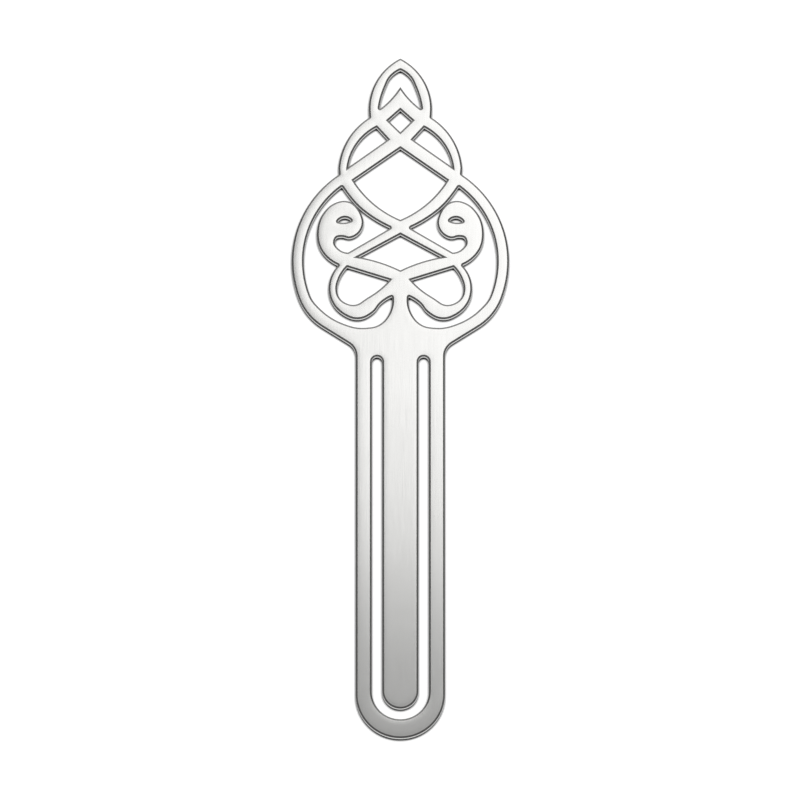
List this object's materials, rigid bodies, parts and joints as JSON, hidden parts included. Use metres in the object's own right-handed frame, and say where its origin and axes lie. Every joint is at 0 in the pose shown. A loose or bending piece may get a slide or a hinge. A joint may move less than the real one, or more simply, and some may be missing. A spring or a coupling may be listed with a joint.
{
  "type": "bookmark",
  "caption": "Flat metal page-clip bookmark with an openwork interlaced knot head, a plain neck and a long stem whose U-shaped slot frees a round-ended spring tongue.",
  "frame": {"origin": "on the back face, under the middle of the sheet's length and width", "axes": "+Y along the stem towards the head's tip, +X to the right seen from the front with the head up, +Z out of the front face"},
  "size_m": [0.0358, 0.1146, 0.0012],
  "materials": {
    "metal": "bright satin polish with softened edges"
  },
  "bodies": {
    "frame": {"crest": "metal", "upper_lattice": "metal", "left_ring": "metal", "right_ring": "metal", "left_scroll": "metal", "right_scroll": "metal", "middle_lattice": "metal", "centre_post": "metal", "left_leaf": "metal", "right_leaf": "metal", "neck_plate": "metal", "left_rail": "metal", "right_rail": "metal", "toe_bow": "metal", "tongue_root": "metal"},
    "tongue": {"tongue_blade": "metal"}
  },
  "joints": [
    {"name": "tongue_flex", "type": "hinge", "parent": "frame", "child": "tongue", "pos_m": [0, -0.00275, 0.0006], "axis": [-1, 0, 0], "range_deg": [0, 5], "stiffness_Nm_per_rad": 6.3, "deforming": ["tongue_root"]}
  ]
}
